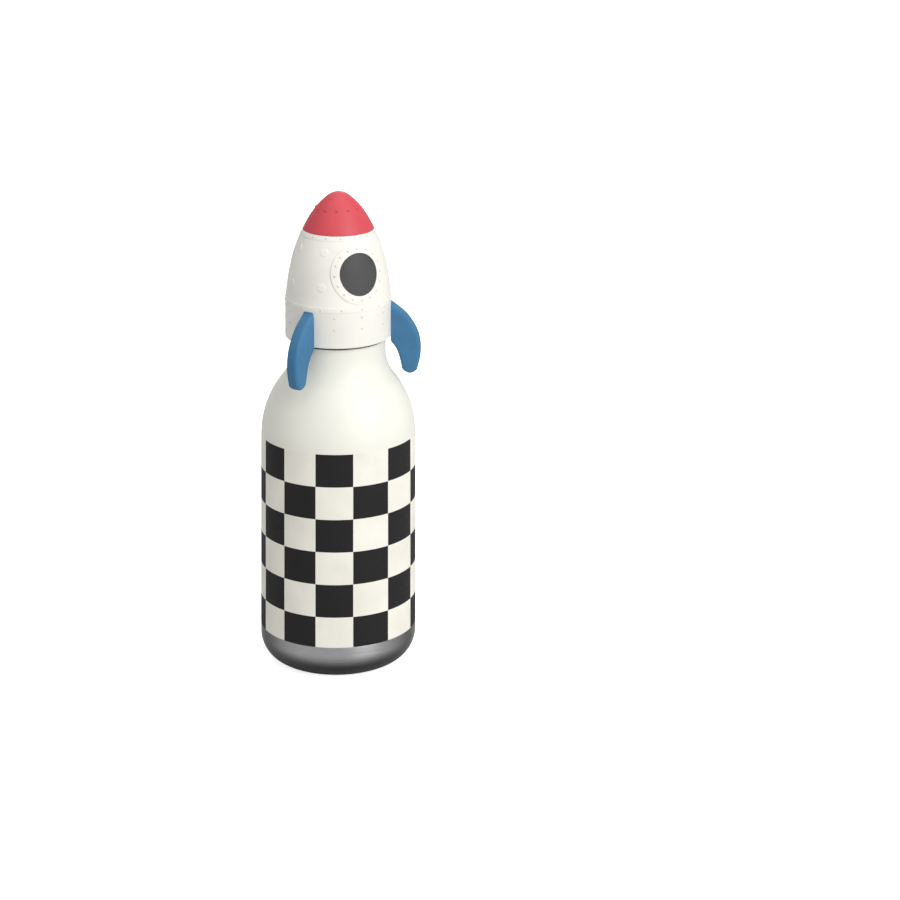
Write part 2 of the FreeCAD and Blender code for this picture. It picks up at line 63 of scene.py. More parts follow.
def top(node):
    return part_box(node)[1].z / MM


def bottom(node):
    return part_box(node)[0].z / MM


def radius(node):
    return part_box(node)[1].x / MM


BODY_R = radius("outer_shell")
BAND_TOP_Z = top("base_cup")
BAND_EDGE_H = 0.15
BAND_EDGE_DEPTH = 0.12
BASE_BEND_R = 12.5
SHELL_TOP_Z = top("outer_shell")
SHOULDER_Z = 109.0
SHOULDER_R = 43.0
NECK_BEND_R = 21.0
NECK_R = 23.4
BARE_NECK_Z = 155.5
COAT_T = 0.06
SHELL_T = 0.6
RECESS_R = radius("base_plate")
RECESS_Z = 2.8
PORT_R = 1.6

FLANGE_Z = top("neck_gasket")
FLANGE_R = radius("lid_body")
FLANGE_T = 3.2
LAND_R = 19.4
LAND_Z = 158.9
PLUG_R = 18.6
PLUG_Z = bottom("lid_body")
PLUG_BORE_R = 16.2
COLLAR_R = 20.4
GROOVE_Z = bottom("cap_grip_ring")
GROOVE_H = 2.6
GROOVE_R = 19.3
DECK_Z = top("lid_body")
DECK_T = 2.2
DECK_EDGE_R = 19.0
COLLAR_TOP_Z = 175.5
CONNECTOR_R = radius("straw_connector")
SOCKET_R = 6.0
SOCKET_Z = 166.0
RIB_COUNT = 36
RIB_R = 0.42
RIB_HALF_H = 1.1
RIB_MIDDLE_H = 1.6
GASKET_R_IN = 19.6
GASKET_R_OUT = 23.2
THREAD_LEAD = 4.0
THREAD_TURNS = 2.0
THREAD_ROOT_HALF = 0.75
THREAD_FLANK_HALF = 0.45
THREAD_CREST_HALF = 0.3
LID_CREST_R = 19.7
LID_RIDGE_Z = 149.0

JOINTS = {joint["name"]: joint for joint in frame["record"]["behaviour"]["joints"]}
SPLIT_Z = JOINTS["spout_flex"]["pos_m"][2] / MM
SPOUT_TOP_Z = top("mouthpiece")
SPOUT_TIP_R = radius("mouthpiece")
SPOUT_FOOT_R = radius("spout_base")
SPOUT_FOOT_T = 1.6
SPOUT_SHOULDER_R = 6.4
SPOUT_STEM_R = 4.75
SPOUT_WAIST_R = 4.7
SPOUT_BORE_R = 2.4
WELL_DEPTH = 0.35

CAP_BOTTOM_Z = bottom("cap_shell")
SKIRT_R = 26.25
SKIRT_WALL = 1.8
BELT_LOW_Z = 174.1
BELT_LOW_TOP_Z = 176.6
BELT_HIGH_Z = 207.1
NOSE_Z = top("cap_shell")
APEX_Z = top("nose_cone")
BELT_PROUD = 0.1
WALL = 2.0
SLEEVE_R_IN = 21.75
SLEEVE_R_OUT = 23.15
SLEEVE_RIM = 1.6
SLEEVE_TOP_Z = 173.9
OGIVE = (
    (26.15, 176.6),
    (24.6, 188.1),
    (21.7, 199.9),
    (17.65, 209.5),
    (12.95, 217.6),
    (7.7, 223.6),
    (4.1, 226.4),
)
SPIGOT_Z = 206.4
SPIGOT_WALL = 1.6

WINDOW_Z = (top("window_frame") + bottom("window_frame")) / 2
LENS_R = radius("window_lens")
FRAME_R = radius("window_frame")
FRAME_PROUD = 0.4
LENS_SUNK = 0.2
SEAT_DEPTH = 1.1
SEAT_FIT = 0.3
FRAME_RIVET_R = 12.0
FRAME_RIVETS = 16
FRAME_RIVET_DOME = (0.52, 0.36)
BELT_RIVETS = 16
SKIRT_RIVET_Z = (171.5, 166.0)
SKIRT_RIVET_STEP = 30
RIVET_DOME = (0.5, 0.32)
RIVET_SUNK = 0.25
STUD_Z = (202.0, 185.8)
STUD_R = 1.95
STUD_PROUD = 0.16
STUD_EDGE_R = 0.3
STUD_SUNK = 0.4
STUD_STEP = 45
NOSE_RIVET_Z = 220.0
NOSE_RIVET_STEP = 30
NOSE_RIVET_DOME = (0.72, 0.42)

FIN_AZIMUTHS = {"fin_left": -60, "fin_right": 60, "fin_rear": 180}
FIN_T = 6.5
FIN_EDGE_R = 1.8
FIN_ROOT_R = 26.15
FIN_BACK = (
    (22.6, 176.2),
    (25.6, 174.0),
    (34.7, 166.4),
    (39.9, 157.1),
    (40.7, 148.2),
    (39.0, 140.4),
)
FIN_TIP = (35.4, 138.5)
FIN_FRONT = ((31.5, 140.8), (30.3, 146.2), (28.9, 150.1), (25.5, 154.8), (22.6, 158.6))

PRINT_COLUMNS = 14
PRINT_ROWS = 6
PRINT_ROW_H = 15.6
PRINT_LOW_H = 14.5
PRINT_PROUD = 0.05
PRINT_SUNK = 0.01
PRINT_GAP = 0.02
PRINT_OFFSET = 6.25
PRINT_OFFSET_AT = 230.0
PRINT_START = 14.4

# ------------------------------------------------------------------ camera and light, in metres

CAMERA_AZIMUTH = -26.0
CAMERA_DISTANCE = 1.3532
CAMERA_HEIGHT = 0.5365
CAMERA_PAN = 2.333
CAMERA_SHIFT = -0.9834
LENS_MM = 109.58
SENSOR_MM = 36
LIGHT_AIM = (0, 0, 0.12)
# Each light's azimuth from the camera, distance, height, size and power.
LIGHTS = {
    "key": (42, 1.5, 0.9, (1.0, 1.4), 19.5),
    "fill": (-60, 1.8, 0.7, (1.2, 1.4), 1.4),
    "overhead": (0, 0, 2.0, (2.4, 2.4), 17.5),
    "back": (180, 1.7, 0.9, (1.0, 1.2), 7.0),
}
WORLD_LIGHT = 0.4
WORLD_SEEN = 1.0
FLOOR_HALF = 6.0
FLOOR_GLOW = 0.8

# ------------------------------------------------------------------ materials


def srgb(red, green, blue):
    """Linear colour from 0-255 display values."""
    linear = []
    for value in (red, green, blue):
        value /= 255
        linear.append(value / 12.92 if value < 0.04045 else ((value + 0.055) / 1.055) ** 2.4)
    return (*linear, 1)


class Nodes:
    """Small helper that adds and joins shader nodes."""

    def __init__(self, name):
        self.material = bpy.data.materials.new(name)
        self.material.use_nodes = True
        self.tree = self.material.node_tree
        self.tree.nodes.clear()
        self.output = self.add("ShaderNodeOutputMaterial")
        self.shader = self.add("ShaderNodeBsdfPrincipled")
        self.join(self.shader.outputs[0], self.output.inputs["Surface"])
        coordinates = self.add("ShaderNodeTexCoord")
        self.place = coordinates.outputs["Object"]

    def add(self, kind, **settings):
        node = self.tree.nodes.new(kind)
        for key, value in settings.items():
            setattr(node, key, value)
        return node

    def join(self, source, target):
        self.tree.links.new(source, target)

    def scaled(self, scale):
        """Object position stretched by a scale per axis."""
        mapping = self.add("ShaderNodeMapping")
        mapping.inputs["Scale"].default_value = scale
        self.join(self.place, mapping.inputs["Vector"])
        return mapping.outputs["Vector"]

    def noise(self, scale, detail=3.0, rough=0.5, stretch=None):
        node = self.add("ShaderNodeTexNoise")
        node.inputs["Scale"].default_value = scale
        node.inputs["Detail"].default_value = detail
        node.inputs["Roughness"].default_value = rough
        self.join(self.scaled(stretch) if stretch else self.place, node.inputs["Vector"])
        return node.outputs["Fac"]

    def ramp(self, value, low, high, to_low=0.0, to_high=1.0, smooth=False):
        node = self.add("ShaderNodeMapRange")
        node.interpolation_type = "SMOOTHSTEP" if smooth else "LINEAR"
        node.inputs["From Min"].default_value = low
        node.inputs["From Max"].default_value = high
        node.inputs["To Min"].default_value = to_low
        node.inputs["To Max"].default_value = to_high
        self.join(value, node.inputs["Value"])
        return node.outputs["Result"]

    def mix(self, factor, first, second):
        node = self.add("ShaderNodeMix", data_type="RGBA")
        self.join(factor, node.inputs["Factor"])
        for value, name in ((first, "A"), (second, "B")):
            socket = [s for s in node.inputs if s.name == name and s.type == "RGBA"][0]
            if isinstance(value, tuple):
                socket.default_value = value
            else:
                self.join(value, socket)
        return [s for s in node.outputs if s.type == "RGBA"][0]

    def bump(self, height, strength, distance, under=None):
        node = self.add("ShaderNodeBump")
        node.inputs["Strength"].default_value = strength
        node.inputs["Distance"].default_value = distance
        self.join(height, node.inputs["Height"])
        if under is not None:
            self.join(under, node.inputs["Normal"])
        return node.outputs["Normal"]

    def set(self, **values):
        for key, value in values.items():
            socket = self.shader.inputs[key.replace("_", " ")]
            if isinstance(value, (int, float, tuple)):
                socket.default_value = value
            else:
                self.join(value, socket)
        return self.material


def tinted(colour, factor):
    return (*(min(1.0, channel * factor) for channel in colour[:3]), 1)


def moulded(name, colour, rough=0.42, grain=9000, grain_depth=0.00002, spread=0.05, **more):
    """Moulded plastic: faint mottling, flow marks in the gloss and a fine texture."""
    nodes = Nodes(name)
    cloud = nodes.noise(38, 4.0)
    shade = nodes.mix(
        nodes.ramp(cloud, 0.35, 0.65), tinted(colour, 1 - spread), tinted(colour, 1 + spread / 2)
    )
    gloss = nodes.ramp(nodes.noise(160, 3.0), 0.3, 0.7, rough - 0.05, rough + 0.06)
    fine = nodes.bump(nodes.noise(grain, 2.0), 0.35, grain_depth)
    wavy = nodes.bump(nodes.noise(90, 2.0), 0.12, 0.0003, under=fine)
    return nodes.set(Base_Color=shade, Roughness=gloss, Normal=wavy, **more)


def powder_coat(name, colour):
    """Fine-textured powder coat: orange peel with tiny specks."""
    nodes = Nodes(name)
    cloud = nodes.noise(26, 4.0)
    shade = nodes.mix(nodes.ramp(cloud, 0.35, 0.65), tinted(colour, 0.975), tinted(colour, 1.01))
    speck = nodes.ramp(nodes.noise(2600, 1.0), 0.70, 0.78)
    shade = nodes.mix(speck, shade, tinted(colour, 0.9))
    gloss = nodes.ramp(nodes.noise(900, 3.0), 0.3, 0.7, 0.36, 0.5)
    peel = nodes.bump(nodes.noise(1400, 2.0), 0.25, 0.00008)
    grain = nodes.bump(nodes.noise(6500, 2.0), 0.2, 0.00003, under=peel)
    return nodes.set(Base_Color=shade, Roughness=gloss, Normal=grain, Specular_IOR_Level=0.45)


def ink(name, colour, rough):
    """Screen-printed ink over the coat: the peel shows through, slightly uneven cover."""
    nodes = Nodes(name)
    cloud = nodes.noise(60, 5.0)
    shade = nodes.mix(nodes.ramp(cloud, 0.3, 0.7), tinted(colour, 0.93), tinted(colour, 1.05))
    thin = nodes.ramp(nodes.noise(3200, 1.0), 0.72, 0.8)
    shade = nodes.mix(thin, shade, tinted(colour, 1.25))
    gloss = nodes.ramp(nodes.noise(700, 3.0), 0.3, 0.7, rough - 0.06, rough + 0.08)
    peel = nodes.bump(nodes.noise(1400, 2.0), 0.22, 0.00008)
    return nodes.set(Base_Color=shade, Roughness=gloss, Normal=peel, Specular_IOR_Level=0.2)


def brushed(name, colour, rough=0.3, painted_shade_level=1.0, painted_shade_span=None):
    """Steel brushed round the axis: lines of constant height, streaks, soft stains.

    With a fade, painted shade darkens it towards the bottom, between two heights in metres, in
    place of the dark floor reflection and contact shade, and a painted dark reflection darkens its
    edges where the surface turns away.
    """
    nodes = Nodes(name)
    lines = nodes.noise(1.0, 3.0, 0.6, stretch=(40, 40, 5200))
    streak = nodes.noise(1.0, 2.0, 0.5, stretch=(120, 120, 1300))
    cloud = nodes.noise(45, 3.0)
    shade = nodes.mix(nodes.ramp(lines, 0.3, 0.7), tinted(colour, 0.9), tinted(colour, 1.08))
    shade = nodes.mix(nodes.ramp(streak, 0.35, 0.7), shade, tinted(colour, 0.91))
    shade = nodes.mix(nodes.ramp(cloud, 0.62, 0.85, 0, 0.5), shade, tinted(colour, 0.8))
    # Painted shade towards the bottom and a painted dark reflection at the grazing edges.
    if painted_shade_span:
        split = nodes.add("ShaderNodeSeparateXYZ")
        nodes.join(nodes.place, split.inputs[0])
        height = nodes.ramp(split.outputs["Z"], *painted_shade_span, smooth=True)
        shade = nodes.mix(height, tinted(colour, painted_shade_level), shade)
        facing = nodes.add("ShaderNodeLayerWeight").outputs["Facing"]
        edge = nodes.ramp(facing, 0.1, 0.72, smooth=True)
        shade = nodes.mix(edge, shade, tinted(colour, 0.18))
    gloss = nodes.ramp(lines, 0.25, 0.75, rough - 0.06, rough + 0.12)
    marks = nodes.bump(lines, 0.3, 0.00003)
    return nodes.set(
        Base_Color=shade, Metallic=1.0, Roughness=gloss, Normal=marks,
        Anisotropic=0.8, Anisotropic_Rotation=0.25,
    )


def rubbery(name, colour, rough=0.55, spread=0.08, soft=0.0):
    """Silicone or elastomer: matt, slightly cloudy, with fine dust in the gloss."""
    nodes = Nodes(name)
    cloud = nodes.noise(55, 4.0)
    shade = nodes.mix(
        nodes.ramp(cloud, 0.35, 0.65), tinted(colour, 1 - spread), tinted(colour, 1 + spread)
    )
    gloss = nodes.ramp(nodes.noise(420, 3.0), 0.3, 0.7, rough - 0.08, rough + 0.1)
    skin = nodes.bump(nodes.noise(5200, 2.0), 0.3, 0.00003)
    wavy = nodes.bump(nodes.noise(130, 2.0), 0.15, 0.0003, under=skin)
    nodes.set(Base_Color=shade, Roughness=gloss, Normal=wavy, Specular_IOR_Level=0.4)
    if soft:
        nodes.set(Subsurface_Weight=soft, Subsurface_Radius=(0.003, 0.003, 0.003))
    return nodes.material


CREAM = srgb(240, 239, 228)
COAT = powder_coat("cream_powder_coat", CREAM)
INK_DARK = ink("black_ink", srgb(33, 33, 33), 0.6)
INK_LIGHT = ink("white_ink", srgb(243, 240, 229), 0.6)
# Base steel with painted shade low down and a painted dark reflection at its edges.
STEEL = brushed("brushed_base_steel", srgb(192, 192, 193), 0.28, 0.08, (0.0055, 0.0135))
# Bare neck steel; its dark tone is painted shade for the gap under the cap's skirt.
BARE_STEEL_AND_SHADE = brushed("bare_neck_steel_and_painted_shade", srgb(120, 118, 114), 0.4)
STEEL_FLAT = brushed("brushed_plate_steel", srgb(170, 168, 166))
LINER = brushed("satin_liner_steel", srgb(190, 190, 189), 0.34)
HULL = moulded("cream_hull_plastic", srgb(244, 242, 233), 0.48)
# Rivet plastic: the hull's cream toned darker as painted shade round the rivet heads.
RIVET_SHADE_PLASTIC = moulded("cream_rivet_painted_shade", srgb(220, 218, 209), 0.5)
LID = moulded("cream_lid_plastic", srgb(232, 230, 220), 0.44)
NATURAL = moulded("natural_tube_plastic", srgb(222, 220, 212), 0.4)
RED = moulded("red_nose_plastic", srgb(212, 74, 84), 0.5, spread=0.06)
BLUE = rubbery("blue_fin_rubber", srgb(61, 116, 156), 0.62)
SPOUT_BLUE = rubbery("blue_spout_silicone", srgb(70, 124, 164), soft=0.25)
SEAL = rubbery("grey_seal_silicone", srgb(150, 156, 158), soft=0.15)
CLEAR = rubbery("frosted_silicone", srgb(224, 226, 222), 0.4, soft=0.4)
# Nose rivet plastic: the nose's red toned darker as painted shade round the rivet heads.
RED_RIVET_SHADE = moulded("red_rivet_painted_shade", srgb(198, 68, 78), 0.5)
PANE = moulded("smoked_pane_plastic", srgb(76, 76, 76), 0.55, spread=0.06, Specular_IOR_Level=0.25)
BRAZE = brushed("dull_braze_metal", srgb(150, 132, 92), 0.45)
SINTER = moulded("sintered_getter_alloy", srgb(92, 90, 88), 0.7, grain=3000, grain_depth=0.0001)

# ------------------------------------------------------------------ shapes


def arc(centre, size, start, end, steps):
    """Points on a circle arc, angles in degrees from the +r direction."""
    points = []
    for index in range(steps + 1):
        angle = math.radians(start + (end - start) * index / steps)
        points.append((centre[0] + size * math.cos(angle), centre[1] + size * math.sin(angle)))
    return points


def eased(path, steps=5):
    """Path of (r, z) or (r, z, fillet) corners with each fillet drawn as an arc."""
    points = []
    count = len(path)
    for index, corner in enumerate(path):
        if len(corner) == 2:
            points.append(corner)
            continue
        here = Vector(corner[:2])
        back = (Vector(path[index - 1][:2]) - here).normalized()
        ahead = (Vector(path[(index + 1) % count][:2]) - here).normalized()
        half = back.angle(ahead) / 2
        centre = here + (back + ahead).normalized() * corner[2] / math.sin(half)
        first = here + back * corner[2] / math.tan(half) - centre
        last = here + ahead * corner[2] / math.tan(half) - centre
        for step in range(steps + 1):
            offset = first.slerp(last, step / steps) * corner[2]
            points.append(tuple(centre + offset))
    return points


def smooth_curve(points, first, last, steps=8):
    """Smooth curve through points, with the direction given at each end."""
    knots = [Vector(point) for point in points]
    gaps = [(b - a).length for a, b in zip(knots, knots[1:])]
    slopes = [(b - a) / gap for a, b, gap in zip(knots, knots[1:], gaps)]
    tangents = [Vector(first).normalized() if first else slopes[0]]
    for index in range(1, len(gaps)):
        before, after = gaps[index - 1], gaps[index]
        blend = slopes[index - 1] * after + slopes[index] * before
        tangents.append(blend / (before + after))
    tangents.append(Vector(last).normalized() if last else slopes[-1])
    curve = []
    for index, gap in enumerate(gaps):
        for step in range(steps):
            t = step / steps
            curve.append(
                knots[index] * (2 * t**3 - 3 * t**2 + 1)
                + tangents[index] * gap * (t**3 - 2 * t**2 + t)
                + knots[index + 1] * (3 * t**2 - 2 * t**3)
                + tangents[index + 1] * gap * (t**3 - t**2)
            )
    curve.append(knots[-1])
    return [tuple(point) for point in curve]


def spun(path, segments=SEGMENTS):
    """bmesh of a closed path of (r, z) spun about Z."""
    mesh = bmesh.new()
    rings = []
    for r, z in path:
        if r < 1e-5:
            rings.append([mesh.verts.new((0, 0, z * MM))])
            continue
        ring = []
        for index in range(segments):
            angle = 2 * math.pi * index / segments
            spot = (r * MM * math.sin(angle), -r * MM * math.cos(angle), z * MM)
            ring.append(mesh.verts.new(spot))
        rings.append(ring)
    for low, high in zip(rings, rings[1:] + rings[:1]):
        if len(low) == 1 and len(high) == 1:
            continue
        for index in range(segments):
            after = (index + 1) % segments
            corners = []
            corners += [low[0]] if len(low) == 1 else [low[index], low[after]]
            corners += [high[0]] if len(high) == 1 else [high[after], high[index]]
            mesh.faces.new(corners)
    bmesh.ops.recalc_face_normals(mesh, faces=mesh.faces)
    return mesh


def piece(name, mesh, body, slot, *materials, sharp=32):
    """Object from a bmesh, shaded smooth, riding on a body."""
    data = bpy.data.meshes.new(name)
    mesh.to_mesh(data)
    mesh.free()
    for material in materials:
        data.materials.append(material)
    data.shade_smooth()
    data.set_sharp_from_angle(angle=math.radians(sharp))
    item = bpy.data.objects.new(name, data)
    bpy.context.scene.collection.objects.link(item)
    if body:
        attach(item, body)
    return item


def dome(size, height, rings=5, segments=14):
    """Low rounded rivet head standing on z = 0, with a small skirt under the surface."""
    path = [(size, -RIVET_SUNK), (size, 0.0)]
    for step in range(1, rings):
        angle = math.pi / 2 * step / rings
        path.append((size * math.cos(angle), height * math.sin(angle)))
    path.append((0, height))
    path.append((0, -RIVET_SUNK))
    return spun(path, segments)


def button(size, height, ease):
    """Flat stud with rounded edge."""
    path = eased([(0, height), (size, height, ease), (size, -STUD_SUNK), (0, -STUD_SUNK)], 6)
    return spun(path, 40)


def merged(stamps):
    """One bmesh from (bmesh, matrix) pairs."""
    result = bmesh.new()
    for mesh, matrix in stamps:
        data = bpy.data.meshes.new("stamp")
        mesh.to_mesh(data)
        data.transform(matrix)
        result.from_mesh(data)
        bpy.data.meshes.remove(data)
    return result


def turn(azimuth):
    return Matrix.Rotation(math.radians(azimuth), 4, "Z")


def planted(azimuth, r, z, tip):
    """Matrix that lays a feature drawn along +Z on a surface point of the cap."""
    tilt = Matrix.Rotation(math.radians(90) - tip, 4, "X")
    return turn(azimuth) @ Matrix.Translation((0, -r * MM, z * MM)) @ tilt


# ------------------------------------------------------------------ cap outline


def smooth_hull(points):
    """Fine line up through cap outline points, level where it meets the axis."""
    rising = (points[1][0] - points[0][0], points[1][1] - points[0][1])
    return smooth_curve(points, rising, (-1, 0), 12)


HULL_LINE = smooth_hull(OGIVE + ((0, APEX_Z),))


def hull_inside(depth):
    """Cap outline moved inwards by a depth."""
    moved = []
    for before, here, after in zip(HULL_LINE, HULL_LINE[1:], HULL_LINE[2:]):
        along = (Vector(after) - Vector(before)).normalized()
        moved.append((here[0] - depth * along.y, here[1] + depth * along.x))
    return [point for point in moved if point[0] > 0.3] + [(0, APEX_Z - depth)]


def hull_radius(z):
    """Radius of the cap's outline at a height."""
    for (r0, z0), (r1, z1) in zip(HULL_LINE, HULL_LINE[1:]):
        if z0 <= z <= z1:
            return r0 + (r1 - r0) * (z - z0) / (z1 - z0)
    return HULL_LINE[0][0]


def hull_tip(z):
    """How far the outline's normal tips up at a height."""
    return math.atan2(hull_radius(z - 0.5) - hull_radius(z + 0.5), 1.0)


def hull_part(low, high):
    """Piece of the cap's outline between two heights."""
    line = [(hull_radius(low), low)]
    line += [(r, z) for r, z in HULL_LINE if low + 0.2 < z < high - 0.2]
    return line + [(hull_radius(high), high)]


# ------------------------------------------------------------------ bottle


def shoulder_line(depth, steps=28):
    """Vessel wall from the shoulder to the neck, a depth under the surface."""
    centre_r = BODY_R - SHOULDER_R
    neck_r = NECK_R + NECK_BEND_R
    reach = SHOULDER_R + NECK_BEND_R
    rise = math.sqrt(reach**2 - (neck_r - centre_r) ** 2)
    lean = math.degrees(math.asin(rise / reach))
    convex = arc((centre_r, SHOULDER_Z), SHOULDER_R - depth, 0, lean, steps)
    concave = arc((neck_r, SHOULDER_Z + rise), NECK_BEND_R + depth, 180 + lean, 180, steps)
    return convex + concave[1:]


def build_bottle():
    outside = [(BODY_R, BAND_TOP_Z)]
    outside += shoulder_line(0)
    outside += [(NECK_R, BARE_NECK_Z), (NECK_R - COAT_T, BARE_NECK_Z + COAT_T)]
    outside += [(NECK_R - COAT_T, SHELL_TOP_Z)]
    inside = shoulder_line(SHELL_T)
    inside += [(NECK_R - SHELL_T, SHELL_TOP_Z)]
    path = outside + inside[::-1] + [(BODY_R - SHELL_T, BAND_TOP_Z)]
    mesh = spun(path, 256)
    # Faces above the bare line take the bare steel, whose dark tone is painted shade under the
    # cap's skirt.
    for face in mesh.faces:
        if face.calc_center_median().z > BARE_NECK_Z * MM:
            face.material_index = 1
    shell = piece("coated_shell", mesh, "bottle", "powder_coat", COAT, BARE_STEEL_AND_SHADE)
    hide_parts("outer_shell")

    bend = BODY_R - BASE_BEND_R
    ceiling = RECESS_Z + SHELL_T
    path = [(BODY_R - BAND_EDGE_DEPTH, BAND_TOP_Z), (BODY_R, BAND_TOP_Z - BAND_EDGE_H)]
    path += arc((bend, BASE_BEND_R), BASE_BEND_R, 0, -90, 24)
    path += eased([(bend, 0), (RECESS_R, 0, 0.3), (RECESS_R, RECESS_Z)], 4)[1:]
    path += [(PORT_R, RECESS_Z), (PORT_R, ceiling)]
    path += [(RECESS_R + SHELL_T, ceiling), (RECESS_R + SHELL_T, SHELL_T)]
    path += arc((bend, BASE_BEND_R), BASE_BEND_R - SHELL_T, -90, 0, 24)
    path += [(BODY_R - SHELL_T, BAND_TOP_Z)]
    cup = piece("brushed_cup", spun(path, 256), "bottle", "base_steel", STEEL)
    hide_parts("base_cup")


def print_azimuth(edge):
    """Azimuth of a column edge of the wrapped print, in degrees."""
    around = PRINT_START + edge * 360 / PRINT_COLUMNS
    slip = PRINT_OFFSET * math.sin(math.radians(around - PRINT_OFFSET_AT))
    return around - slip + CAMERA_AZIMUTH


def build_print():
    """Printed sleeve of checks, a film's thickness proud of the coat."""
    mesh = bmesh.new()
    per_cell = 14
    r = (BODY_R + PRINT_PROUD) * MM
    root = (BODY_R - PRINT_SUNK) * MM
    heights = [BAND_TOP_Z + PRINT_GAP, BAND_TOP_Z + PRINT_LOW_H]
    heights += [heights[1] + PRINT_ROW_H * (row + 1) for row in range(PRINT_ROWS - 1)]
    angles = []
    for column in range(PRINT_COLUMNS):
        start, end = print_azimuth(column), print_azimuth(column + 1)
        angles += [math.radians(start + (end - start) * k / per_cell) for k in range(per_cell)]

    def ring(size, z):
        return [mesh.verts.new((size * math.sin(a), -size * math.cos(a), z * MM)) for a in angles]

    rings = [ring(root, heights[0])]
    rings += [ring(r, z) for z in heights]
    rings.append(ring(root, heights[-1]))
    for level, (low, high) in enumerate(zip(rings, rings[1:])):
        row = min(max(level - 1, 0), PRINT_ROWS - 1)
        for index in range(len(angles)):
            after = (index + 1) % len(angles)
            face = mesh.faces.new((low[index], low[after], high[after], high[index]))
            face.material_index = (index // per_cell + row) % 2
    bmesh.ops.recalc_face_normals(mesh, faces=mesh.faces)
    piece("check_print", mesh, "bottle", "powder_coat", INK_DARK, INK_LIGHT)


# ------------------------------------------------------------------ drinking lid


def ridge(base_r, crest_r, low_z, per_turn=72):
    """Helical thread ridge with tapered ends."""
    mesh = bmesh.new()
    count = int(per_turn * THREAD_TURNS)
    loops = []
    for index in range(count + 1):
        turns = index / per_turn
        swell = min(1.0, index / 8, (count - index) / 8)
        crest = base_r + (crest_r - base_r) * max(0.05, swell)
        angle = 2 * math.pi * turns
        z = low_z + THREAD_LEAD * turns
        flank = [
            (base_r - 0.2, THREAD_ROOT_HALF),
            (crest - 0.15, THREAD_FLANK_HALF),
            (crest, THREAD_CREST_HALF),
        ]
        corners = [(r, -half) for r, half in flank] + flank[::-1]
        loop = []
        for r, dz in corners:
            spot = (r * MM * math.cos(angle), r * MM * math.sin(angle), (z + dz) * MM)
            loop.append(mesh.verts.new(spot))
        loops.append(loop)
    for low, high in zip(loops, loops[1:]):
        for index in range(len(low)):
            after = (index + 1) % len(low)
            mesh.faces.new((low[index], low[after], high[after], high[index]))
    mesh.faces.new(loops[0])
    mesh.faces.new(loops[-1][::-1])
    bmesh.ops.recalc_face_normals(mesh, faces=mesh.faces)
    return mesh


def build_lid():
    flange_top = FLANGE_Z + FLANGE_T
    ceiling = DECK_Z - DECK_T
    path = eased([
        (PLUG_BORE_R, PLUG_Z, 0.4),
        (PLUG_R, PLUG_Z, 0.5),
        (PLUG_R, LAND_Z),
        (LAND_R, LAND_Z, 0.2),
        (LAND_R, FLANGE_Z),
        (FLANGE_R, FLANGE_Z, 0.5),
        (FLANGE_R, flange_top, 0.6),
        (COLLAR_R, flange_top, 0.5),
        (COLLAR_R, GROOVE_Z, 0.2),
        (GROOVE_R, GROOVE_Z),
        (GROOVE_R, GROOVE_Z + GROOVE_H),
        (COLLAR_R, GROOVE_Z + GROOVE_H, 0.2),
        (COLLAR_R, COLLAR_TOP_Z, 1.0),
        (DECK_EDGE_R, DECK_Z, 1.0),
        (SPOUT_FOOT_R + 1.6, DECK_Z, 0.3),
        (SPOUT_FOOT_R + 1.2, DECK_Z - WELL_DEPTH, 0.2),
        (SPOUT_FOOT_R + 0.2, DECK_Z - WELL_DEPTH),
        (SPOUT_FOOT_R + 0.1, DECK_Z),
        (CONNECTOR_R, DECK_Z),
        (CONNECTOR_R, SOCKET_Z),
        (SOCKET_R, SOCKET_Z, 0.4),
        (SOCKET_R, ceiling, 0.6),
        (PLUG_BORE_R, ceiling, 1.5),
    ])
    body = spun(path)
    thread = ridge(PLUG_R, LID_CREST_R, LID_RIDGE_Z)
    ribs = []
    side = [(0, RIB_HALF_H), (RIB_R, RIB_HALF_H, 0.25), (RIB_R, -RIB_HALF_H, 0.25)]
    reach, middle = FLANGE_R - 0.12, FLANGE_Z + RIB_MIDDLE_H
    for index in range(RIB_COUNT):
        bar = spun(eased(side + [(0, -RIB_HALF_H)], 3), 10)
        place = Matrix.Translation((0, -reach * MM, middle * MM))
        ribs.append((bar, turn(index * 360 / RIB_COUNT) @ place))
    whole = merged([(body, Matrix()), (thread, Matrix())] + ribs)
    lid = piece("screw_lid", whole, "drinking_lid", "lid_plastic", LID)
    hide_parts("lid_body")

    low, high = GROOVE_Z + 0.1, GROOVE_Z + GROOVE_H - 0.1
    path = [(GROOVE_R, low), (COLLAR_R - 0.1, low)]
    path += arc((COLLAR_R, GROOVE_Z + GROOVE_H / 2), 1.2, -80, 80, 14)
    path += [(COLLAR_R - 0.1, high), (GROOVE_R, high)]
    ring = piece("grip_ring", spun(path), "drinking_lid", "seal_silicone", SEAL)
    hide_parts("cap_grip_ring")

    low, high = bottom("neck_gasket"), FLANGE_Z
    path = eased([
        (GASKET_R_IN, low, 0.4),
        (GASKET_R_OUT, low, 0.6),
        (GASKET_R_OUT, high, 0.6),
        (GASKET_R_IN, high, 0.4),
    ])
    seal = piece("lip_gasket", spun(path), "neck_seal", "seal_silicone", SEAL)
    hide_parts("neck_gasket")


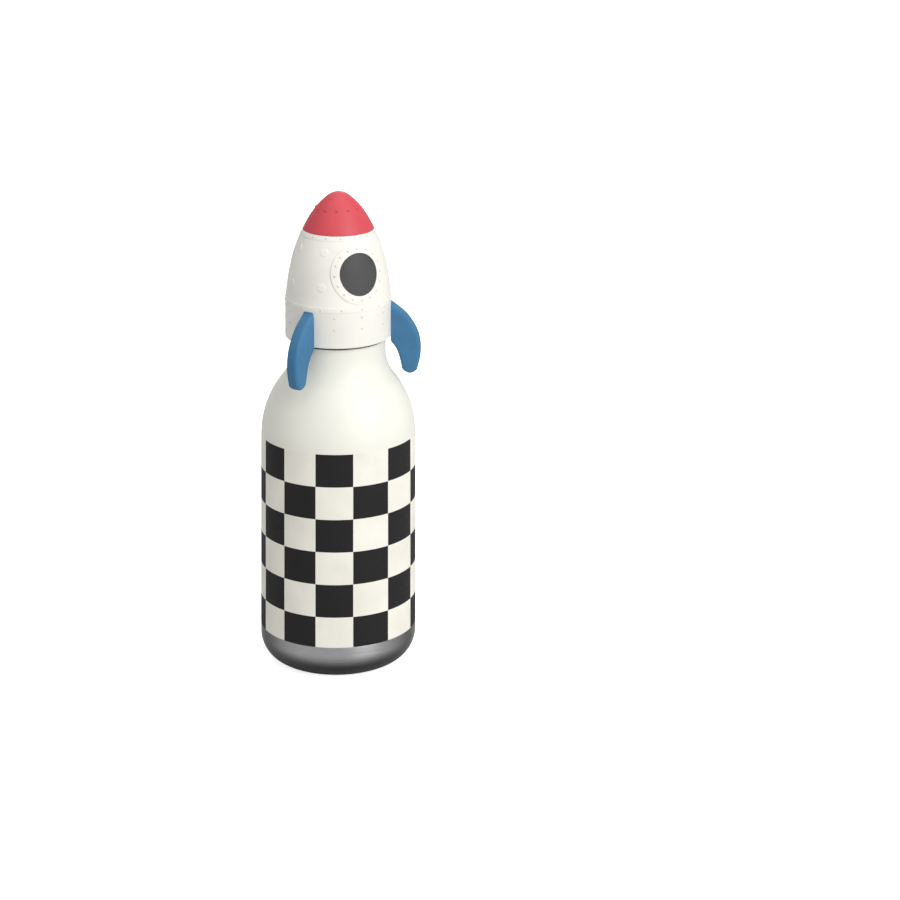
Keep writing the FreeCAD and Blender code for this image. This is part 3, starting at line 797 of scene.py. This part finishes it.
def build_spout():
    """One soft spout in one piece across the joint, with a waist at the joint's height."""
    foot_top = DECK_Z + SPOUT_FOOT_T
    foot = eased([
        (SPOUT_BORE_R, DECK_Z),
        (SPOUT_FOOT_R, DECK_Z),
        (SPOUT_FOOT_R, foot_top, 0.7),
        (SPOUT_SHOULDER_R, foot_top, 0.8),
        (SPOUT_SHOULDER_R, foot_top + 1.6, 0.5),
        (5.0, foot_top + 3.2, 0.9),
    ], 5)
    stem = [
        (SPOUT_SHOULDER_R - 0.1, foot_top + 1.2),
        (5.5, foot_top + 2.6),
        (SPOUT_STEM_R, SPLIT_Z - 1.5),
        (SPOUT_WAIST_R, SPLIT_Z + 1.0),
        (SPOUT_STEM_R, SPLIT_Z + 5.5),
        (SPOUT_TIP_R, SPOUT_TOP_Z - 1.6),
    ]
    path = foot[:-6] + smooth_curve(stem, (-0.2, 1), (0.02, 1), 7)
    lip = (SPOUT_TIP_R - SPOUT_BORE_R) / 2
    path += arc((SPOUT_TIP_R - lip, SPOUT_TOP_Z - lip), lip, 0, 180, 12)[1:]
    steps = 40
    rim_z = SPOUT_TOP_Z - lip
    path += [(SPOUT_BORE_R, rim_z + (DECK_Z - rim_z) * k / steps) for k in range(1, steps)]
    spout = piece("soft_spout", spun(path, 96), None, "spout_silicone", SPOUT_BLUE, sharp=50)
    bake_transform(spout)
    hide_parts("spout_base", "mouthpiece")


# ------------------------------------------------------------------ rocket cap


def on_hull(across, z, proud):
    """Point on the front of the cap, lifted off its outline."""
    r = hull_radius(z) + proud
    return Vector((across * MM, -math.sqrt(r * r - across * across) * MM, z * MM))


def hull_patch(reach, low, high, rings=14, steps=96):
    """Closed disc that follows the front of the cap, between two lifts off its outline."""
    mesh = bmesh.new()
    rims = []
    for proud in (low, high):
        before = [mesh.verts.new(on_hull(0, WINDOW_Z, proud))] * steps
        for ring in range(1, rings + 1):
            size = reach * ring / rings
            row = []
            for index in range(steps):
                angle = 2 * math.pi * index / steps
                spot = on_hull(size * math.cos(angle), WINDOW_Z + size * math.sin(angle), proud)
                row.append(mesh.verts.new(spot))
            for index in range(steps):
                after = (index + 1) % steps
                corners = (before[index], row[index], row[after], before[after])
                mesh.faces.new(corners[:3] if ring == 1 else corners)
            before = row
        rims.append(before)
    for index in range(steps):
        after = (index + 1) % steps
        mesh.faces.new((rims[0][index], rims[0][after], rims[1][after], rims[1][index]))
    bmesh.ops.recalc_face_normals(mesh, faces=mesh.faces)
    return mesh


def cut_seat(hull):
    """Shallow seat in the hull for the porthole's ring and pane."""
    block = hull_patch(FRAME_R - SEAT_FIT, -SEAT_DEPTH, 2.0)
    cutter = piece("seat_cutter", block, None, "hull_plastic", HULL)
    cut = hull.modifiers.new("seat", "BOOLEAN")
    cut.operation = "DIFFERENCE"
    cut.solver = "EXACT"
    cut.object = cutter
    bpy.context.view_layer.update()
    ready = hull.evaluated_get(bpy.context.evaluated_depsgraph_get())
    data = bpy.data.meshes.new_from_object(ready)
    hull.modifiers.clear()
    hull.data = data
    data.set_sharp_from_angle(angle=math.radians(32))
    bpy.data.objects.remove(cutter)


def build_hull():
    inner = SKIRT_R - SKIRT_WALL
    throat = hull_radius(NOSE_Z) - WALL
    outside = eased([
        (inner, CAP_BOTTOM_Z, 0.3),
        (SKIRT_R, CAP_BOTTOM_Z, 0.7),
        (SKIRT_R, BELT_LOW_Z, 0.12),
        (SKIRT_R + BELT_PROUD, BELT_LOW_Z, 0.14),
        (SKIRT_R + BELT_PROUD, BELT_LOW_TOP_Z, 0.14),
        (hull_radius(BELT_LOW_TOP_Z), BELT_LOW_TOP_Z, 0.1),
        (hull_radius(BELT_LOW_TOP_Z + 2), BELT_LOW_TOP_Z + 2),
    ], 4)[:-1]
    line = hull_part(BELT_LOW_TOP_Z + 0.6, BELT_HIGH_Z)
    high = hull_radius(BELT_HIGH_Z)
    rim = hull_radius(NOSE_Z)
    belt = eased([
        (high, BELT_HIGH_Z - 2),
        (high, BELT_HIGH_Z, 0.1),
        (high + BELT_PROUD, BELT_HIGH_Z + 0.05, 0.14),
        (rim + BELT_PROUD, NOSE_Z, 0.2),
        (rim, NOSE_Z),
        (throat, NOSE_Z, 0.2),
        (throat, SPIGOT_Z + 1),
        (hull_radius(SPIGOT_Z) - WALL, SPIGOT_Z),
    ], 4)[2:]
    inside = [p for p in hull_inside(WALL) if BELT_LOW_TOP_Z + 0.5 < p[1] < SPIGOT_Z - 0.5][::-1]
    path = outside + line[:-1] + belt + inside
    path += [(hull_radius(BELT_LOW_TOP_Z) - WALL, BELT_LOW_TOP_Z), (inner, BELT_LOW_Z)]
    hull = piece("rocket_hull", spun(path, 256), "rocket_cap", "hull_plastic", HULL)
    cut_seat(hull)
    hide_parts("cap_shell")

    stamps = []
    high_z = (BELT_HIGH_Z + NOSE_Z) / 2
    low_z = (BELT_LOW_Z + BELT_LOW_TOP_Z) / 2
    for index in range(BELT_RIVETS):
        angle = index * 360 / BELT_RIVETS
        r = hull_radius(high_z) + BELT_PROUD
        stamps.append((dome(*RIVET_DOME), planted(angle, r, high_z, hull_tip(high_z))))
        stamps.append((dome(*RIVET_DOME), planted(angle, SKIRT_R + BELT_PROUD, low_z, 0)))
    for z in SKIRT_RIVET_Z:
        for angle in range(SKIRT_RIVET_STEP - 180, 180, SKIRT_RIVET_STEP):
            if angle not in FIN_AZIMUTHS.values():
                stamps.append((dome(*RIVET_DOME), planted(angle, SKIRT_R, z, 0)))
    piece("hull_rivets", merged(stamps), "rocket_cap", "hull_plastic", RIVET_SHADE_PLASTIC)

    stamps = []
    for z in STUD_Z:
        for angle in range(STUD_STEP, 360, STUD_STEP):
            place = planted(angle, hull_radius(z), z, hull_tip(z))
            stamps.append((button(STUD_R, STUD_PROUD, STUD_EDGE_R), place))
    piece("hull_studs", merged(stamps), "rocket_cap", "hull_plastic", HULL)

    low, high = FLANGE_Z + FLANGE_T, SLEEVE_TOP_Z
    path = eased([
        (SLEEVE_R_IN, low, 0.3),
        (inner, low, 0.2),
        (inner, low + SLEEVE_RIM, 0.2),
        (SLEEVE_R_OUT, low + SLEEVE_RIM, 0.3),
        (SLEEVE_R_OUT, high - SLEEVE_RIM, 0.3),
        (inner, high - SLEEVE_RIM, 0.2),
        (inner, high, 0.2),
        (SLEEVE_R_IN, high, 0.3),
    ])
    sleeve = piece("inner_sleeve", spun(path), "rocket_cap", "lid_plastic", LID)
    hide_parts("cap_sleeve")


def build_nose():
    throat = hull_radius(NOSE_Z) - WALL
    outer = [(r, z) for r, z in HULL_LINE if z > NOSE_Z + 0.5]
    path = [(throat - SPIGOT_WALL, SPIGOT_Z + 1), (throat, SPIGOT_Z + 1), (throat, NOSE_Z)]
    path += eased([
        (throat, NOSE_Z),
        (hull_radius(NOSE_Z), NOSE_Z, 0.2),
        (hull_radius(NOSE_Z + 0.6), NOSE_Z + 0.6),
    ], 4)[1:-1]
    path += outer
    inner = [(r, z) for r, z in hull_inside(WALL) if z > SPIGOT_Z and r < throat - SPIGOT_WALL]
    path += inner[::-1]
    nose = piece("red_nose", spun(path, 256), "rocket_cap", "nose_plastic", RED)
    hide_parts("nose_cone")
    stamps = []
    for angle in range(0, 360, NOSE_RIVET_STEP):
        place = planted(angle, hull_radius(NOSE_RIVET_Z), NOSE_RIVET_Z, hull_tip(NOSE_RIVET_Z))
        stamps.append((dome(*NOSE_RIVET_DOME, 6, 20), place))
    piece("nose_rivets", merged(stamps), "rocket_cap", "nose_plastic", RED_RIVET_SHADE)


def build_porthole():
    section = eased([
        (LENS_R, -1.0),
        (LENS_R, FRAME_PROUD, 0.22),
        (FRAME_R, FRAME_PROUD, 0.25),
        (FRAME_R, -1.0),
    ], 5)
    mesh = bmesh.new()
    steps = 128
    loops = []
    for index in range(steps):
        angle = 2 * math.pi * index / steps
        loop = []
        for reach, proud in section:
            place = on_hull(reach * math.cos(angle), WINDOW_Z + reach * math.sin(angle), proud)
            loop.append(mesh.verts.new(place))
        loops.append(loop)
    for index, loop in enumerate(loops):
        after = loops[(index + 1) % steps]
        for k in range(len(section)):
            j = (k + 1) % len(section)
            mesh.faces.new((loop[k], after[k], after[j], loop[j]))
    bmesh.ops.recalc_face_normals(mesh, faces=mesh.faces)
    ring = piece("porthole_ring", mesh, "rocket_cap", "frame_plastic", HULL)
    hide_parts("window_frame")

    stamps = []
    for index in range(FRAME_RIVETS):
        angle = 2 * math.pi * index / FRAME_RIVETS
        z = WINDOW_Z + FRAME_RIVET_R * math.sin(angle)
        across = FRAME_RIVET_R * math.cos(angle)
        azimuth = math.degrees(math.asin(across / hull_radius(z)))
        place = planted(azimuth, hull_radius(z) + FRAME_PROUD, z, hull_tip(z))
        stamps.append((dome(*FRAME_RIVET_DOME), place))
    piece("porthole_rivets", merged(stamps), "rocket_cap", "frame_plastic", RIVET_SHADE_PLASTIC)

    pane_mesh = hull_patch(LENS_R, -SEAT_DEPTH, -LENS_SUNK)
    pane = piece("porthole_pane", pane_mesh, "rocket_cap", "pane_plastic", PANE)
    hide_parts("window_lens")


def build_fins():
    rounding = [FIN_BACK[-1], FIN_TIP, FIN_FRONT[0]]
    outline = smooth_curve(FIN_BACK, None, None, 9)
    outline += smooth_curve(rounding, (-0.7, -0.7), (-0.5, 0.85), 6)[1:-1]
    outline += smooth_curve(FIN_FRONT, None, None, 8)
    for node, azimuth in FIN_AZIMUTHS.items():
        curve = bpy.data.curves.new(node + "_outline", "CURVE")
        curve.dimensions = "2D"
        curve.fill_mode = "BOTH"
        curve.extrude = (FIN_T / 2 - FIN_EDGE_R) * MM
        curve.bevel_depth = FIN_EDGE_R * MM
        curve.bevel_resolution = 7
        curve.offset = -FIN_EDGE_R * MM
        spline = curve.splines.new("POLY")
        spline.points.add(len(outline) - 1)
        spline.use_cyclic_u = True
        for point, (r, z) in zip(spline.points, outline):
            point.co = (r * MM, z * MM, 0, 1)
        holder = bpy.data.objects.new("outline", curve)
        bpy.context.scene.collection.objects.link(holder)
        bpy.context.view_layer.update()
        data = bpy.data.meshes.new_from_object(holder)
        bpy.data.objects.remove(holder)
        # Drawn flat as (r, z) with its thickness along Z, then stood up facing the front.
        upright = Matrix(((0, 0, 1, 0), (-1, 0, 0, 0), (0, 1, 0, 0), (0, 0, 0, 1)))
        data.transform(turn(azimuth) @ upright)
        mesh = bmesh.new()
        mesh.from_mesh(data)
        bpy.data.meshes.remove(data)
        bmesh.ops.remove_doubles(mesh, verts=mesh.verts, dist=0.00001)
        for vertex in mesh.verts:
            reach = vertex.co.xy.length
            if reach < FIN_ROOT_R * MM:
                vertex.co.xy *= FIN_ROOT_R * MM / reach
        bmesh.ops.recalc_face_normals(mesh, faces=mesh.faces)
        name = node.replace("fin", "blade")
        blade = piece(name, mesh, "rocket_cap", "fin_rubber", BLUE, sharp=50)
        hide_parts(node)


# ------------------------------------------------------------------ carried-over CAD nodes


def finish_cad_nodes():
    finishes = {
        "base_plate": STEEL_FLAT,
        "vacuum_plug": BRAZE,
        "getter": SINTER,
        "inner_vessel": LINER,
        "straw_connector": NATURAL,
        "straw": CLEAR,
        "vent_valve": CLEAR,
    }
    for node, material in finishes.items():
        data = frame["nodes"][node].data
        data.materials.clear()
        data.materials.append(material)


# ------------------------------------------------------------------ stage


def build_stage():
    mesh = bmesh.new()
    corners = ((-1, -1), (1, -1), (1, 1), (-1, 1))
    mesh.faces.new([mesh.verts.new((x * FLOOR_HALF, y * FLOOR_HALF, 0)) for x, y in corners])
    data = bpy.data.meshes.new("floor")
    mesh.to_mesh(data)
    mesh.free()
    floor = bpy.data.objects.new("floor", data)
    bpy.context.scene.collection.objects.link(floor)
    nodes = Nodes("pale_floor")
    cloud = nodes.ramp(nodes.noise(3, 3.0), 0.3, 0.7)
    seen = nodes.add("ShaderNodeLightPath").outputs["Is Camera Ray"]
    pale = nodes.mix(cloud, srgb(252, 252, 252), srgb(255, 255, 255))
    shade = nodes.mix(seen, srgb(205, 205, 205), pale)
    glow = nodes.ramp(seen, 0, 1, 0, FLOOR_GLOW)
    data.materials.append(nodes.set(
        Base_Color=shade, Roughness=0.9, Emission_Color=(1.0, 1.0, 1.0, 1.0), Emission_Strength=glow
    ))


def from_camera(azimuth, distance, height):
    """Point round the bottle, azimuth measured from the camera's side to its right."""
    angle = math.radians(CAMERA_AZIMUTH + azimuth)
    return Vector((distance * math.sin(angle), -distance * math.cos(angle), height))


def build_lights():
    for name, (azimuth, distance, height, size, power) in LIGHTS.items():
        data = bpy.data.lights.new(name, "AREA")
        data.shape = "RECTANGLE"
        data.size, data.size_y = size
        data.energy = power
        lamp = bpy.data.objects.new(name, data)
        lamp.location = from_camera(azimuth, distance, height)
        aim = Vector(LIGHT_AIM) - lamp.location
        lamp.rotation_euler = aim.to_track_quat("-Z", "Y").to_euler()
        bpy.context.scene.collection.objects.link(lamp)
    world = bpy.data.worlds.new("studio")
    world.use_nodes = True
    tree = world.node_tree
    sky = tree.nodes["Background"].inputs
    sky["Color"].default_value = (1, 1, 1, 1)
    seen = tree.nodes.new("ShaderNodeLightPath").outputs["Is Camera Ray"]
    level = tree.nodes.new("ShaderNodeMapRange")
    level.inputs["To Min"].default_value = WORLD_LIGHT
    level.inputs["To Max"].default_value = WORLD_SEEN
    tree.links.new(seen, level.inputs["Value"])
    tree.links.new(level.outputs["Result"], sky["Strength"])
    bpy.context.scene.world = world


def build_camera():
    """Level camera with its frame shifted down, so that the bottle's sides stay upright.

    The shift holds at the camera's own height only. A view from elsewhere has none.
    """
    data = bpy.data.cameras.new("camera")
    data.sensor_width = SENSOR_MM
    data.lens = LENS_MM
    data.clip_end = 50
    camera = bpy.data.objects.new("camera", data)
    camera.location = from_camera(0, CAMERA_DISTANCE, CAMERA_HEIGHT)
    camera.rotation_euler = (math.pi / 2, 0, math.radians(CAMERA_AZIMUTH - CAMERA_PAN))
    bpy.context.scene.collection.objects.link(camera)
    bpy.context.scene.camera = camera
    curve = data.driver_add("shift_y")
    curve.driver.type = "SCRIPTED"
    level = curve.driver.variables.new()
    level.name = "h"
    level.type = "TRANSFORMS"
    level.targets[0].id = camera
    level.targets[0].transform_type = "LOC_Z"
    level.targets[0].transform_space = "WORLD_SPACE"
    curve.driver.expression = f"{CAMERA_SHIFT} if abs(h - {CAMERA_HEIGHT}) < 0.0005 else 0.0"


build_bottle()
build_print()
build_lid()
build_spout()
build_hull()
build_nose()
build_porthole()
build_fins()
finish_cad_nodes()
build_stage()
build_lights()
build_camera()
scene = bpy.context.scene
scene.view_settings.view_transform = "Standard"
scene.view_settings.look = "None"
